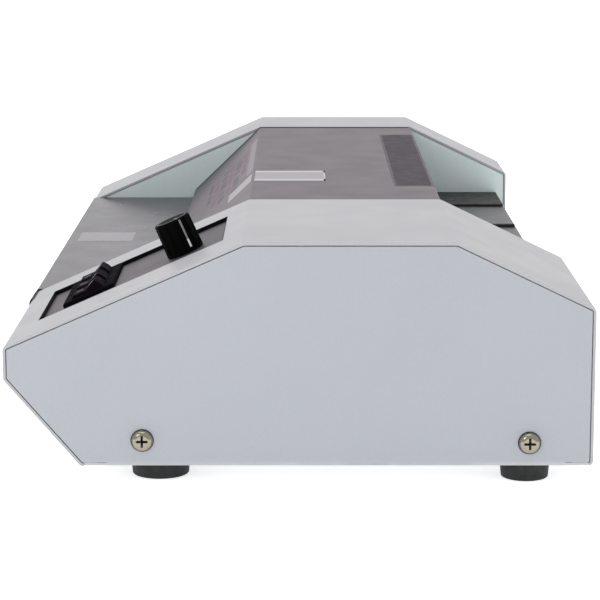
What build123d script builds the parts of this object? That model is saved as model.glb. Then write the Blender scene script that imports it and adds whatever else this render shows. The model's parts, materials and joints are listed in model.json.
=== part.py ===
"""Desktop pouch laminator for sheets up to A3.

Frame: +X towards the control side, -Y towards the feed table, +Z up.  The origin is at the middle of
the footprint, on the surface that the feet stand on.  All sizes are in millimetres.
"""
from build123d import *
import math
import os

os.makedirs("parts", exist_ok=True)

# ---- overall size ----
overall_width = 500.0
overall_depth = 256.0
overall_height = 107.0
half_width = overall_width / 2
front_y = -overall_depth / 2
rear_y = overall_depth / 2
foot_height = 8.5

# ---- sheet metal ----
sheet = 1.2
seam = 0.5
bend_radius = 2.5
clearance = 0.3
return_flange_width = 3.0
return_flange_gap = 0.1

# ---- side outline of the two housings, as (y, z) corners ----
front_top = (front_y, 61.3)
front_low = (front_y, 46.9)
front_toe = (-95.1, foot_height)
rear_toe = (rear_y, foot_height)
rear_top = (rear_y, 78.2)
top_rear = (68.2, overall_height)
top_front = (-24.0, overall_height)
outline_corners = [front_top, front_low, front_toe, rear_toe, rear_top, top_rear, top_front]

# ---- where the housings stand ----
right_inner_x = 120.0
left_inner_x = -194.0
feed_width = right_inner_x - left_inner_x
feed_mid_x = (right_inner_x + left_inner_x) / 2

# ---- folds, floor and ties ----
panel_fold_width = 9.0
panel_fold_z = 33.0
panel_fold_y = (-80.0, 120.0)
pan_flange_top_z = 31.0
pan_flange_y = (-84.0, 116.0)
pan_gap = 0.1
floor_slot_width = 6.0
floor_slot_length = 60.0
floor_slot_pitch = 18.0
floor_slot_count = 12
floor_slots_y = 36.0
rear_slot_width = 4.0
rear_slot_height = 26.0
rear_slot_pitch = 12.0
rear_slot_count = 18
rear_slots_z = 36.0
rear_foot_fold = 10.0
rear_tie_y = (55.5, 67.0)
rear_tie_z = (78.0, 88.0)
front_tie_y = (-112.0, -100.0)
front_tie_z = (34.0, 60.0)

# ---- feed table, top cover and exit ledge ----
table_top_z = 63.0
table_front_y = front_y + 0.2
table_rear_y = -42.0
table_lip_z = 48.0
cover_gap = 0.6
cover_foot = (-64.5, 67.5)
cover_top_z = 106.5
cover_top_front_y = -24.0
cover_rear_y = 68.8
cover_rear_foot_z = 74.0
cover_foot_fold = 9.0
cover_bend_radius = 1.6
ledge_top_z = 65.0
ledge_front_y = 52.0
ledge_rear_y = 122.8
ledge_side_gap = 0.6
ledge_lip_depth = 14.0
ledge_tab_y = (92.0, 112.0)
ledge_tab_z = 54.0
rib_width = 3.0
rib_height = 1.5
rib_offset_x = 27.0
rib_rounding = 0.5
pad_offset_x = 104.5
pad_side_gap = 0.9

# ---- vent grille, let into the rear edge of the top cover ----
vent_left_x = -156.0
vent_right_x = 71.0
vent_front_y = 48.0
vent_low_z = 98.0
vent_gap = 0.1
vent_flange_width = 4.0
vent_flange_thickness = 1.2
vent_slot_width = 1.6
vent_slot_y = (49.2, 67.0)
vent_pitch = 3.2

# ---- rollers, in (y, z) ----
sheet_plane_z = 65.5
roller_pitch_radius = 12.0
sleeve_radius = 11.8
front_roller_y = -20.0
rear_roller_y = 36.0
lower_roller_z = sheet_plane_z - roller_pitch_radius
upper_roller_z = sheet_plane_z + roller_pitch_radius
core_radius = 7.0
journal_radius = 4.0
journal_clearance = 0.05
journal_chamfer = 0.5
bush_radius = 7.0
bush_length = 5.5
bush_flange_radius = 9.0
bush_flange_width = 1.8
sleeve_end_gap = 6.0
shaft_left_x = left_inner_x - 9.0
shaft_right_x = 138.0

# ---- gears ----
gear_module = 1.0
roller_teeth = 24
idler_teeth = 32
pinion_teeth = 16
pressure_angle = math.radians(20.0)
addendum = 0.85
dedendum = 1.1
tooth_thinning = 0.12
gear_x = 127.0
gear_width = 8.0
idler_y = (front_roller_y + rear_roller_y) / 2
idler_z = lower_roller_z
pinion_y = idler_y
pinion_z = idler_z - gear_module * (idler_teeth + pinion_teeth) / 2
idler_stud_radius = 3.0
idler_collar_radius = 5.0
idler_boss_radius = 6.0
idler_hole_radius = 2.6
idler_hole_circle = 10.0
idler_holes = 6
gear_hub_radius = 7.0
gear_hub_width = 2.0

# ---- sprung blocks of the upper rollers ----
block_width = 14.0
block_height = 18.0
block_flange = 2.0
block_lip = 2.0
slot_clearance = 0.2
lip_gap = 0.15
spring_radius = 3.4
spring_wire = 0.5
spring_turns = 5
spring_seat_height = 3.0
spring_seat_top_z = 99.0

# ---- heated guide plates between the roller pairs ----
heater_front_y = -4.0
heater_rear_y = 20.0
heater_gap = 0.8
heater_depth = 11.0
heater_tube_radius = 3.3
heater_bore_radius = 3.5
heater_bore_depth = 6.0
heater_y = (heater_front_y + heater_rear_y) / 2
heater_back_half = 6.0
heater_edge_drop = 1.5
heater_lead_in = 2.5

# ---- sloping control panel: local x is the row's x, local y runs up the slope from its front corner ----
slope_angle = math.degrees(math.atan2(top_front[1] - front_top[1], top_front[0] - front_top[0]))
slope_normal = (0, -math.sin(math.radians(slope_angle)), math.cos(math.radians(slope_angle)))
slope = Plane(origin=(0, front_top[0], front_top[1]), x_dir=(1, 0, 0), z_dir=slope_normal)
recess_low_x = 146.0
recess_high_x = 217.0
recess_low_s = 13.0
recess_high_s = 103.0
panel_depth = 1.9
panel_thickness = 1.5
panel_margin = 6.0

# ---- rocker switches ----
switch_centres_x = (155.25, 173.75, 192.25)
switch_centre_s = 35.65
bezel_width = 18.2
bezel_length = 25.0
bezel_height = 2.0
switch_body_width = 15.6
switch_body_length = 22.4
switch_body_depth = 19.0
rocker_width = 12.4
rocker_radius = 7.85
rocker_tilt = 13.0
rocker_peak_angle = 40.6
rocker_pivot_below_bezel = 2.2
rocker_skirt = 4.0
rocker_side_gap = 0.25
rocker_end_gap = 0.3
rocker_sweep_depth = 2.5
rocker_pin_radius = 1.0
rocker_pin_length = 0.9
bezel_top = bezel_height - panel_depth
bezel_chamfer = 0.5
blade_pitch = 6.0
blade_length = 8.0
blade_width = 4.8
blade_thickness = 0.8

# ---- temperature knob ----
knob_x = 189.0
knob_s = 82.8
knob_base_radius = 8.7
knob_taper = 1.3
knob_gap = 0.5
knob_top = 14.4
knob_rim_chamfer = 0.6
knob_plain_band = 1.4
knob_flutes = 12
knob_flute_radius = 1.3
knob_flute_circle = 9.15
knob_pointer_angle = 30.0
knob_hollow_radius = 6.0
knob_hollow_depth = 4.0
knob_cap = 2.5
pot_bush_radius = 3.5
pot_shaft_radius = 3.0
pot_body_radius = 8.0
pot_body_depth = 9.0
pot_shaft_depth = 3.0
pot_bush_top = 3.4
nut_radius = 5.2
nut_height = 2.2

# ---- feet and screws ----
front_foot = (228.0, -61.5, 13.25)
rear_foot = (234.0, 99.7, 11.15)
foot_taper = 5
foot_bore_radius = 4.4
foot_bore_depth = 5.0
foot_hole_radius = 2.0
foot_screw_radius = 1.95
foot_screw_head_radius = 3.8
foot_screw_recess = 2.4
screw_head_radius = 4.8
screw_head_height = 2.8
screw_head_rounding = 2.6
screw_shank_radius = 2.4
screw_shank_length = 9.0
cross_length = 5.2
cross_width = 1.1
cross_depth = 1.9
side_screws = ((-68.2, 20.0), (100.2, 18.9))

# ---- motor and circuit board ----
motor_face_x = 142.0
motor_length = 24.0
motor_radius = 27.0
motor_centre_z = pinion_z + 12.0
motor_lug_offset = 28.0
motor_lug_half = 6.0
motor_nose_radius = 6.0
bracket_half = 36.0
bracket_foot = 20.0
pinion_shaft_radius = 3.5
board_low = (176.0, 18.0)
board_high = (238.0, 94.0)
board_z = 25.0
board_thickness = 1.6
standoff_radius = 3.2
standoff_inset = 5.0
board_hole_radius = 1.6

# ---- back of the right housing ----
inlet_x = 200.0
inlet_z = 40.0
inlet_flange_proud = 1.0
inlet_flange_half = (16.5, 19.5)
inlet_body_half = (14.0, 17.0)
inlet_body_depth = 26.0
inlet_fit = 0.2
socket_half = 12.0
socket_z = (inlet_z - 5.0, inlet_z + 13.0)
socket_depth = 15.0
drawer_z = (inlet_z - 15.0, inlet_z - 8.0)
drawer_depth = 12.0
drawer_gap = 0.2

# ---- edge guard beside the feed table ----
guard_width = 21.0
guard_proud = 1.0
guard_reach = 2.0
guard_z = (57.5, 62.0)


# ================================ helpers ================================

def save(part, name):
    """Label a finished piece and write its STEP file."""
    part.label = name
    export_step(part, f"parts/{name}.step")


def block(x0, x1, y0, y1, z0, z1, mode=Mode.ADD):
    """A box between two corners, in the active part."""
    with Locations(((x0 + x1) / 2, (y0 + y1) / 2, (z0 + z1) / 2)):
        Box(x1 - x0, y1 - y0, z1 - z0, mode=mode)


def rod(x0, x1, y, z, radius, mode=Mode.ADD):
    """A round bar along X, in the active part."""
    with Locations(((x0 + x1) / 2, y, z)):
        Cylinder(radius, x1 - x0, rotation=(0, 90, 0), mode=mode)


def post(x, y, z0, z1, radius, mode=Mode.ADD):
    """A round bar along Z, in the active part."""
    with Locations((x, y, (z0 + z1) / 2)):
        Cylinder(radius, z1 - z0, mode=mode)


def outline(x, inset=0.0):
    """The housing's side outline in the plane X = x, shrunk by inset."""
    with BuildSketch(Plane.YZ.offset(x)) as side:
        with BuildLine():
            Polyline(*outline_corners, close=True)
        make_face()
        if inset:
            offset(amount=-inset, kind=Kind.INTERSECTION, mode=Mode.REPLACE)
        fillet(side.vertices(), max(bend_radius - inset, 0.6))
    return side.sketch


def slope_box(x0, x1, s0, s1, low, high):
    """A box on the control slope: x across, s up the slope, low and high from its surface."""
    with BuildSketch(slope.offset(low)) as foot:
        with Locations(((x0 + x1) / 2, (s0 + s1) / 2)):
            Rectangle(x1 - x0, s1 - s0)
    return extrude(foot.sketch, amount=high - low)


def slope_disc(x, s, radius, low, high):
    """A round post square to the control slope."""
    with BuildSketch(slope.offset(low)) as foot:
        with Locations((x, s)):
            Circle(radius)
    return extrude(foot.sketch, amount=high - low)


def gear_face(x, y, z, teeth, phase_degrees):
    """Involute gear outline in the plane X = x, with its first tooth at phase_degrees from +Y."""
    pitch_radius = gear_module * teeth / 2
    base_radius = pitch_radius * math.cos(pressure_angle)
    root_radius = pitch_radius - dedendum
    tip_radius = pitch_radius + addendum
    involute_at_pitch = math.tan(pressure_angle) - pressure_angle
    half_tooth = math.pi / (2 * teeth) - tooth_thinning / (2 * pitch_radius)
    flank = []
    for step in range(5):
        radius = root_radius + (tip_radius - root_radius) * step / 4
        angle = math.acos(min(1.0, base_radius / radius))
        flank.append((radius, half_tooth + involute_at_pitch - (math.tan(angle) - angle)))
    points = []
    for tooth in range(teeth):
        middle = math.radians(phase_degrees) + 2 * math.pi * tooth / teeth
        side_angles = [(r, -a) for r, a in flank] + [(r, a) for r, a in reversed(flank)]
        for radius, angle in side_angles:
            points.append((y + radius * math.cos(middle + angle), z + radius * math.sin(middle + angle)))
    with BuildSketch(Plane.YZ.offset(x)) as face:
        with BuildLine():
            Polyline(*points, close=True)
        make_face()
    return face.sketch


# ================================ housings ================================

def return_flange(x0):
    """Flange turned inwards behind a plate, round the front, slope, top and back of a housing."""
    with BuildPart() as flange:
        extrude(outline(x0, sheet), amount=sheet)
        extrude(outline(x0, sheet + return_flange_width), amount=sheet, mode=Mode.SUBTRACT)
        block(x0, x0 + sheet, pan_flange_y[0] - 4, pan_flange_y[1] + 3, 0, panel_fold_z, Mode.SUBTRACT)
    return flange.part


def housing_cover(name, x0, x1, with_controls):
    """One folded sheet over the front lip, slope, top and back of a side housing."""
    with BuildPart() as cover:
        extrude(outline(x0), amount=x1 - x0)
        extrude(outline(x0, sheet), amount=x1 - x0, mode=Mode.SUBTRACT)
        add(return_flange(x0 + sheet + return_flange_gap))
        add(return_flange(x1 - 2 * sheet - return_flange_gap))
        block(x0, x1, front_toe[0] + sheet, rear_y - sheet, 0, foot_height + sheet + 0.05, Mode.SUBTRACT)
        if with_controls:
            add(slope_box(recess_low_x, recess_high_x, recess_low_s, recess_high_s, -2 * sheet, sheet),
                mode=Mode.SUBTRACT)
            block(inlet_x - inlet_body_half[0] - inlet_fit, inlet_x + inlet_body_half[0] + inlet_fit,
                  rear_y - 2 * sheet, rear_y + 1, inlet_z - inlet_body_half[1] - inlet_fit,
                  inlet_z + inlet_body_half[1] + inlet_fit, Mode.SUBTRACT)
    save(cover.part, name)


def side_panel(name, outer_x, inward):
    """Flat outer plate let into the cover's edge, with a stiffening fold along its lower edge."""
    inner_x = outer_x + inward * sheet
    with BuildPart() as panel:
        extrude(outline(min(outer_x, inner_x), sheet + seam), amount=sheet)
        fold_x = inner_x + inward * panel_fold_width
        block(min(inner_x, fold_x), max(inner_x, fold_x), *panel_fold_y, panel_fold_z, panel_fold_z + sheet)
        for y, z in side_screws:
            rod(outer_x - 2 * sheet, outer_x + 2 * sheet, y, z, screw_shank_radius + 0.2, Mode.SUBTRACT)
    save(panel.part, name)


def inner_cheek(name, face_x, outward, with_drive):
    """Inner side plate of a housing; it carries the rollers."""
    far_x = face_x + outward * sheet
    low_x = min(face_x, far_x)
    high_x = low_x + sheet
    with BuildPart() as cheek:
        extrude(outline(low_x, sheet + seam), amount=sheet)
        for y in (front_roller_y, rear_roller_y):
            rod(low_x - 1, high_x + 1, y, lower_roller_z, bush_radius, Mode.SUBTRACT)
            half = block_width / 2 + slot_clearance
            block(low_x - 1, high_x + 1, y - half, y + half,
                  upper_roller_z - block_height / 2 - slot_clearance, spring_seat_top_z, Mode.SUBTRACT)
        if with_drive:
            rod(low_x - 1, high_x + 1, idler_y, idler_z, idler_stud_radius, Mode.SUBTRACT)
    save(cheek.part, name)


def standoff_places():
    """Places of the circuit board's four standoffs."""
    xs = (board_low[0] + standoff_inset, board_high[0] - standoff_inset)
    ys = (board_low[1] + standoff_inset, board_high[1] - standoff_inset)
    return [(x, y) for x in xs for y in ys]


def base_pan():
    """Floor of the machine: upturned side flanges, vent slots and standoffs for the circuit board."""
    flange_x = half_width - sheet - pan_gap
    floor_top = foot_height + sheet
    with BuildPart() as pan:
        block(-flange_x, flange_x, front_toe[0] + sheet + pan_gap, rear_y - sheet - pan_gap,
              foot_height, floor_top)
        for side in (-1, 1):
            outer = side * flange_x
            inner = side * (flange_x - sheet)
            block(min(outer, inner), max(outer, inner), *pan_flange_y, floor_top, pan_flange_top_z)
        for y, z in side_screws:
            rod(-half_width, half_width, y, z, screw_shank_radius + journal_clearance, Mode.SUBTRACT)
        with GridLocations(floor_slot_pitch, 0, floor_slot_count, 1):
            with Locations((feed_mid_x, floor_slots_y, foot_height)):
                Box(floor_slot_width, floor_slot_length, 4 * sheet, mode=Mode.SUBTRACT)
        for x, y, _ in (front_foot, rear_foot):
            for side in (-1, 1):
                post(side * x, y, foot_height - 1, floor_top + 1, foot_hole_radius + journal_clearance,
                     Mode.SUBTRACT)
        for x, y in standoff_places():
            post(x, y, floor_top, board_z, standoff_radius)
    save(pan.part, "base_pan")


def front_apron():
    """Sheet between the housings, below the feed table."""
    low = left_inner_x + clearance
    high = right_inner_x - clearance
    with BuildPart() as apron:
        extrude(outline(low), amount=high - low)
        extrude(outline(low, sheet), amount=high - low, mode=Mode.SUBTRACT)
        block(low, high, front_toe[0] + sheet, rear_y + 1, 0, overall_height + 1, Mode.SUBTRACT)
        block(low, high, front_y - 1, rear_y, table_lip_z - 1.0, overall_height + 1, Mode.SUBTRACT)
    save(apron.part, "front_apron")


def rear_panel():
    """Upright sheet between the housings, below the exit ledge."""
    low = left_inner_x + clearance
    high = right_inner_x - clearance
    back_y = ledge_rear_y - 3 * sheet
    floor_top = foot_height + sheet
    with BuildPart() as panel:
        block(low, high, back_y - sheet, back_y, floor_top, ledge_top_z - sheet)
        block(low, high, back_y - sheet - rear_foot_fold, back_y - sheet, floor_top, floor_top + sheet)
        with Locations((feed_mid_x, back_y - sheet / 2, rear_slots_z)):
            with GridLocations(rear_slot_pitch, 0, rear_slot_count, 1):
                Box(rear_slot_width, 3 * sheet, rear_slot_height, mode=Mode.SUBTRACT)
    save(panel.part, "rear_panel")


def edge_guard():
    """Rubber strip over the front fold of the right housing, beside the feed table."""
    low = right_inner_x + clearance
    with BuildPart() as guard:
        extrude(outline(low, -guard_proud), amount=guard_width)
        extrude(outline(low), amount=guard_width, mode=Mode.SUBTRACT)
        block(low - 1, low + guard_width + 1, front_y - 2 * guard_proud, front_y + guard_reach, *guard_z,
              Mode.INTERSECT)
    save(guard.part, "edge_guard")


# ================================ sheet path ================================

def feed_table():
    """Flat table with a lip folded down along its front edge."""
    low = left_inner_x + clearance
    high = right_inner_x - clearance
    middle_z = table_top_z - sheet / 2
    lip_y = table_front_y + sheet / 2
    with BuildPart() as table:
        with BuildSketch(Plane.YZ.offset(low)):
            with BuildLine():
                Polyline((table_rear_y, middle_z), (lip_y, middle_z), (lip_y, table_lip_z))
                offset(amount=sheet / 2, kind=Kind.INTERSECTION)
            make_face()
        extrude(amount=high - low)
        bends = table.edges().filter_by(Axis.X).group_by(Axis.Y)[0].sort_by(Axis.Z)[-1]
        fillet(bends, sheet)
    save(table.part, "feed_table")


def cover_path(inset):
    """Corners of the top cover's section, from its front foot over the top to its rear foot."""
    angle = math.atan2(cover_top_z - cover_foot[1], cover_top_front_y - cover_foot[0])
    front_shift = inset * (1 - math.cos(angle)) / math.sin(angle)
    foot_shift = inset / math.sin(angle)
    return [
        (cover_foot[0] + foot_shift, cover_foot[1]),
        (cover_top_front_y + front_shift, cover_top_z - inset),
        (cover_rear_y - inset, cover_top_z - inset),
        (cover_rear_y - inset, cover_rear_foot_z),
    ]


def cover_shell(low, high):
    """The top cover's folded section, run from low to high along X."""
    with BuildPart() as shell:
        with BuildSketch(Plane.YZ.offset(low)):
            with BuildLine():
                Polyline(*cover_path(0), *reversed(cover_path(sheet)), close=True)
            make_face()
        extrude(amount=high - low)
        fillet(shell.edges().filter_by(Axis.X).group_by(Axis.Z)[-1], cover_bend_radius)
    return shell.part


def top_cover():
    """Folded sheet over the rollers, cut out along its rear bend for the vent grille."""
    low = left_inner_x + cover_gap
    high = right_inner_x - cover_gap
    foot_y, foot_z = cover_foot
    with BuildPart() as cover:
        add(cover_shell(low, high))
        block(low, high, foot_y + 1.4 * sheet, foot_y + cover_foot_fold, foot_z, foot_z + sheet)
        block(low, high, cover_rear_y - cover_foot_fold, cover_rear_y - sheet,
              cover_rear_foot_z, cover_rear_foot_z + sheet)
        block(vent_left_x, vent_right_x, vent_front_y, cover_rear_y + 1, vent_low_z, cover_top_z + 1,
              Mode.SUBTRACT)
    save(cover.part, "top_cover")


def vent_grille():
    """Black slotted insert that closes the top cover's cut-out, with a flange under the sheet."""
    low = vent_left_x + vent_gap
    high = vent_right_x - vent_gap
    slots = int((high - low - vent_pitch) // vent_pitch)
    under = cover_top_z - sheet
    flange_low = under - vent_flange_thickness
    flange_rear_y = cover_rear_y - sheet - vent_gap
    with BuildPart() as grille:
        add(cover_shell(low, high))
        block(low - 1, high + 1, vent_front_y + vent_gap, cover_rear_y + 1, vent_low_z + vent_gap,
              cover_top_z + 1, Mode.INTERSECT)
        block(low, high, vent_front_y + vent_gap, flange_rear_y, flange_low, under)
        block(low - vent_flange_width, high + vent_flange_width, vent_front_y - vent_flange_width,
              flange_rear_y, flange_low, under - vent_gap)
        with Locations(((low + high) / 2, sum(vent_slot_y) / 2, under)):
            with GridLocations(vent_pitch, 0, slots, 1):
                Box(vent_slot_width, vent_slot_y[1] - vent_slot_y[0], 4 * sheet, mode=Mode.SUBTRACT)
    save(grille.part, "vent_grille")


def exit_ledge():
    """Flat ledge that carries the sheet away behind the rollers, held to the cheeks by its end tabs."""
    low = left_inner_x + ledge_side_gap
    high = right_inner_x - ledge_side_gap
    under = ledge_top_z - sheet
    with BuildPart() as ledge:
        block(low, high, ledge_front_y, ledge_rear_y, under, ledge_top_z)
        block(low, high, ledge_rear_y - sheet, ledge_rear_y, ledge_top_z - ledge_lip_depth, under)
        block(low, high, ledge_front_y, ledge_front_y + sheet, ledge_tab_z, under)
        fillet(ledge.edges().filter_by(Axis.X).group_by(Axis.Y)[-1].sort_by(Axis.Z)[-1], sheet)
        block(left_inner_x, left_inner_x + sheet, *ledge_tab_y, ledge_tab_z, ledge_top_z - sheet / 2)
        block(right_inner_x - sheet, right_inner_x, *ledge_tab_y, ledge_tab_z, ledge_top_z - sheet / 2)
    save(ledge.part, "exit_ledge")


def exit_ledge_ribs():
    """Rubber ribs and side pads along the exit ledge that keep the warm sheet off the steel."""
    front_y_on_ledge = ledge_front_y + 2 * sheet
    rear_y_on_ledge = ledge_rear_y - sheet
    pad_width = feed_width / 2 - pad_offset_x - pad_side_gap
    with BuildPart() as ribs:
        with BuildSketch(Plane.XY.offset(ledge_top_z)):
            for side in (-1, 1):
                for centre, width in ((rib_offset_x, rib_width), (pad_offset_x + pad_width / 2, pad_width)):
                    with Locations((feed_mid_x + side * centre, (front_y_on_ledge + rear_y_on_ledge) / 2)):
                        Rectangle(width, rear_y_on_ledge - front_y_on_ledge)
        extrude(amount=rib_height)
        fillet(ribs.edges().group_by(Axis.Z)[-1].filter_by(Axis.Y), rib_rounding)
    save(ribs.part, "exit_ledge_ribs")


def tie_bars():
    """Two angle bars that hold the cheeks apart and the top cover down."""
    with BuildPart() as bars:
        for (y0, y1), (z0, z1), upright_y in (
                (rear_tie_y, rear_tie_z, rear_tie_y[0]),
                (front_tie_y, front_tie_z, front_tie_y[1] - sheet)):
            block(left_inner_x, right_inner_x, y0, y1, z0, z0 + sheet)
            block(left_inner_x, right_inner_x, upright_y, upright_y + sheet, z0 + sheet, z1)
    save(bars.part, "tie_bars")


def heater_plate(name, direction):
    """Aluminium guide plate with a bore for its tube heater; direction is -1 below the sheet."""
    face_z = sheet_plane_z + direction * heater_gap
    edge_z = face_z + direction * heater_edge_drop
    wing_z = face_z + direction * 2 * heater_edge_drop
    root_z = face_z + direction * 3 * heater_edge_drop
    back_z = face_z + direction * heater_depth
    front_back_y = heater_y - heater_back_half
    rear_back_y = heater_y + heater_back_half
    with BuildPart() as plate:
        with BuildSketch(Plane.YZ.offset(left_inner_x)):
            with BuildLine():
                Polyline((heater_front_y, edge_z), (heater_front_y + heater_lead_in, face_z),
                         (heater_rear_y - heater_lead_in, face_z), (heater_rear_y, edge_z),
                         (heater_rear_y, wing_z), (rear_back_y, root_z), (rear_back_y, back_z),
                         (front_back_y, back_z), (front_back_y, root_z), (heater_front_y, wing_z), close=True)
            make_face()
        extrude(amount=feed_width)
        rod(left_inner_x - 1, right_inner_x + 1, heater_y, face_z + direction * heater_bore_depth,
            heater_bore_radius, Mode.SUBTRACT)
    save(plate.part, name)


def heater_tubes():
    """Tube heaters, one in the bore of each guide plate."""
    with BuildPart() as tubes:
        for direction in (-1, 1):
            bore_z = sheet_plane_z + direction * (heater_gap + heater_bore_depth)
            rod(left_inner_x + 1, right_inner_x - 1, heater_y, bore_z, heater_tube_radius)
    save(tubes.part, "heater_tubes")


def thermal_controls():
    """Thermostat disc and thermal cut-out with its clip, on the back of the upper guide plate."""
    back_z = sheet_plane_z + heater_gap + heater_depth
    thermostat_x, thermostat_top = -60.0, back_z + 6.0
    cutout_x, cutout_radius = -12.0, 2.6
    with BuildPart() as controls:
        post(thermostat_x, heater_y, back_z, thermostat_top, 6.0)
        block(thermostat_x - 6, thermostat_x + 6, heater_y - 1.5, heater_y + 1.5,
              thermostat_top, thermostat_top + 4)
        rod(cutout_x - 8, cutout_x + 8, heater_y, back_z + cutout_radius + 0.4, cutout_radius)
        block(cutout_x - 2, cutout_x + 2, heater_y - 3.2, heater_y + 3.2, back_z, back_z + sheet)
    save(controls.part, "thermal_controls")


# ================================ rollers ================================

def roller(prefix, y, z, phase_degrees):
    """One roller: steel shaft, silicone sleeve and drive gear, each its own piece."""
    with BuildPart() as shaft:
        rod(shaft_left_x, shaft_right_x, y, z, journal_radius)
        rod(left_inner_x + 4, right_inner_x - 4, y, z, core_radius)
        for end in (0, -1):
            chamfer(shaft.edges().filter_by(GeomType.CIRCLE).group_by(Axis.X)[end], journal_chamfer)
    save(shaft.part, f"{prefix}_shaft")
    with BuildPart() as sleeve:
        rod(left_inner_x + sleeve_end_gap, right_inner_x - sleeve_end_gap, y, z, sleeve_radius)
        rod(left_inner_x, right_inner_x, y, z, core_radius, Mode.SUBTRACT)
        ends = sleeve.edges().filter_by(GeomType.CIRCLE).sort_by(lambda edge: edge.radius)[-2:]
        fillet(ends, 0.8)
    save(sleeve.part, f"{prefix}_sleeve")
    with BuildPart() as gear:
        extrude(gear_face(gear_x, y, z, roller_teeth, phase_degrees), amount=gear_width)
        rod(gear_x + gear_width, gear_x + gear_width + gear_hub_width, y, z, gear_hub_radius)
        rod(gear_x - 1, gear_x + gear_width + gear_hub_width + 1, y, z, journal_radius, Mode.SUBTRACT)
    save(gear.part, f"{prefix}_gear")


def lower_roller_bushes():
    """Flanged bushes for the lower rollers, two in each cheek."""
    with BuildPart() as bushes:
        for y in (front_roller_y, rear_roller_y):
            for face_x, outward in ((left_inner_x, -1), (right_inner_x, 1)):
                inner = face_x - outward * bush_flange_width
                outer = face_x + outward * bush_length
                rod(min(inner, outer), max(inner, outer), y, lower_roller_z, bush_radius)
                rod(min(inner, face_x), max(inner, face_x), y, lower_roller_z, bush_flange_radius)
                rod(min(inner, outer) - 1, max(inner, outer) + 1, y, lower_roller_z,
                    journal_radius + journal_clearance, Mode.SUBTRACT)
    save(bushes.part, "lower_roller_bushes")


def cheek_slider(y, z0, z1, face_x, outward):
    """H-shaped block that hangs in a cheek's slot, with a lip on both sides of the plate."""
    half = block_width / 2
    plate_low = min(face_x, face_x + outward * sheet)
    plate_high = plate_low + sheet
    block(plate_low - lip_gap - block_flange, plate_high + lip_gap + block_flange, y - half, y + half, z0, z1)
    for low in (plate_low - lip_gap - block_flange, plate_high + lip_gap):
        block(low, low + block_flange, y - half - block_lip, y + half + block_lip, z0, z1)


def pressure_blocks(name, y):
    """Bearing blocks of one upper roller, free to ride up their slots against the springs."""
    low_z = upper_roller_z - block_height / 2
    with BuildPart() as blocks:
        for face_x, outward in ((left_inner_x, -1), (right_inner_x, 1)):
            cheek_slider(y, low_z, low_z + block_height, face_x, outward)
        rod(left_inner_x - 8, right_inner_x + 8, y, upper_roller_z, journal_radius + journal_clearance,
            Mode.SUBTRACT)
    save(blocks.part, name)


def spring_seats():
    """Fixed seats at the tops of the slots, above the pressure springs."""
    with BuildPart() as seats:
        for y in (front_roller_y, rear_roller_y):
            for face_x, outward in ((left_inner_x, -1), (right_inner_x, 1)):
                cheek_slider(y, spring_seat_top_z - spring_seat_height, spring_seat_top_z, face_x, outward)
    save(seats.part, "spring_seats")


def pressure_springs(name, y):
    """Compression springs between one upper roller's blocks and their seats."""
    low_z = upper_roller_z + block_height / 2 + spring_wire
    high_z = spring_seat_top_z - spring_seat_height - spring_wire
    with BuildPart() as springs:
        for face_x, outward in ((left_inner_x, -1), (right_inner_x, 1)):
            middle_x = face_x + outward * sheet / 2
            pitch = (high_z - low_z) / spring_turns
            with BuildLine() as path:
                add(Helix(pitch, high_z - low_z, spring_radius, center=(middle_x, y, low_z)))
            with BuildSketch(Plane(origin=path.line @ 0, z_dir=path.line % 0)):
                Circle(spring_wire)
            sweep(path=path.line)
    save(springs.part, name)


# ================================ drive ================================

def idler():
    """Idler gear between the two lower roller gears, and the stud it turns on."""
    gear_end = gear_x + gear_width
    with BuildPart() as gear:
        extrude(gear_face(gear_x, idler_y, idler_z, idler_teeth, 0), amount=gear_width)
        rod(gear_x - gear_hub_width, gear_x, idler_y, idler_z, idler_boss_radius)
        for hole in range(idler_holes):
            angle = 2 * math.pi * (hole + 0.5) / idler_holes
            rod(gear_x - 1, gear_end + 1, idler_y + idler_hole_circle * math.cos(angle),
                idler_z + idler_hole_circle * math.sin(angle), idler_hole_radius, Mode.SUBTRACT)
        rod(gear_x - 2 * gear_hub_width, gear_end + 1, idler_y, idler_z,
            idler_stud_radius + journal_clearance, Mode.SUBTRACT)
    save(gear.part, "idler_gear")
    with BuildPart() as stud:
        rod(right_inner_x, gear_end + gear_hub_width, idler_y, idler_z, idler_stud_radius)
        rod(gear_end + clearance, gear_end + gear_hub_width, idler_y, idler_z, idler_collar_radius)
        rod(right_inner_x + sheet, gear_x - gear_hub_width - clearance, idler_y, idler_z, idler_collar_radius)
    save(stud.part, "idler_stud")


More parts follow.
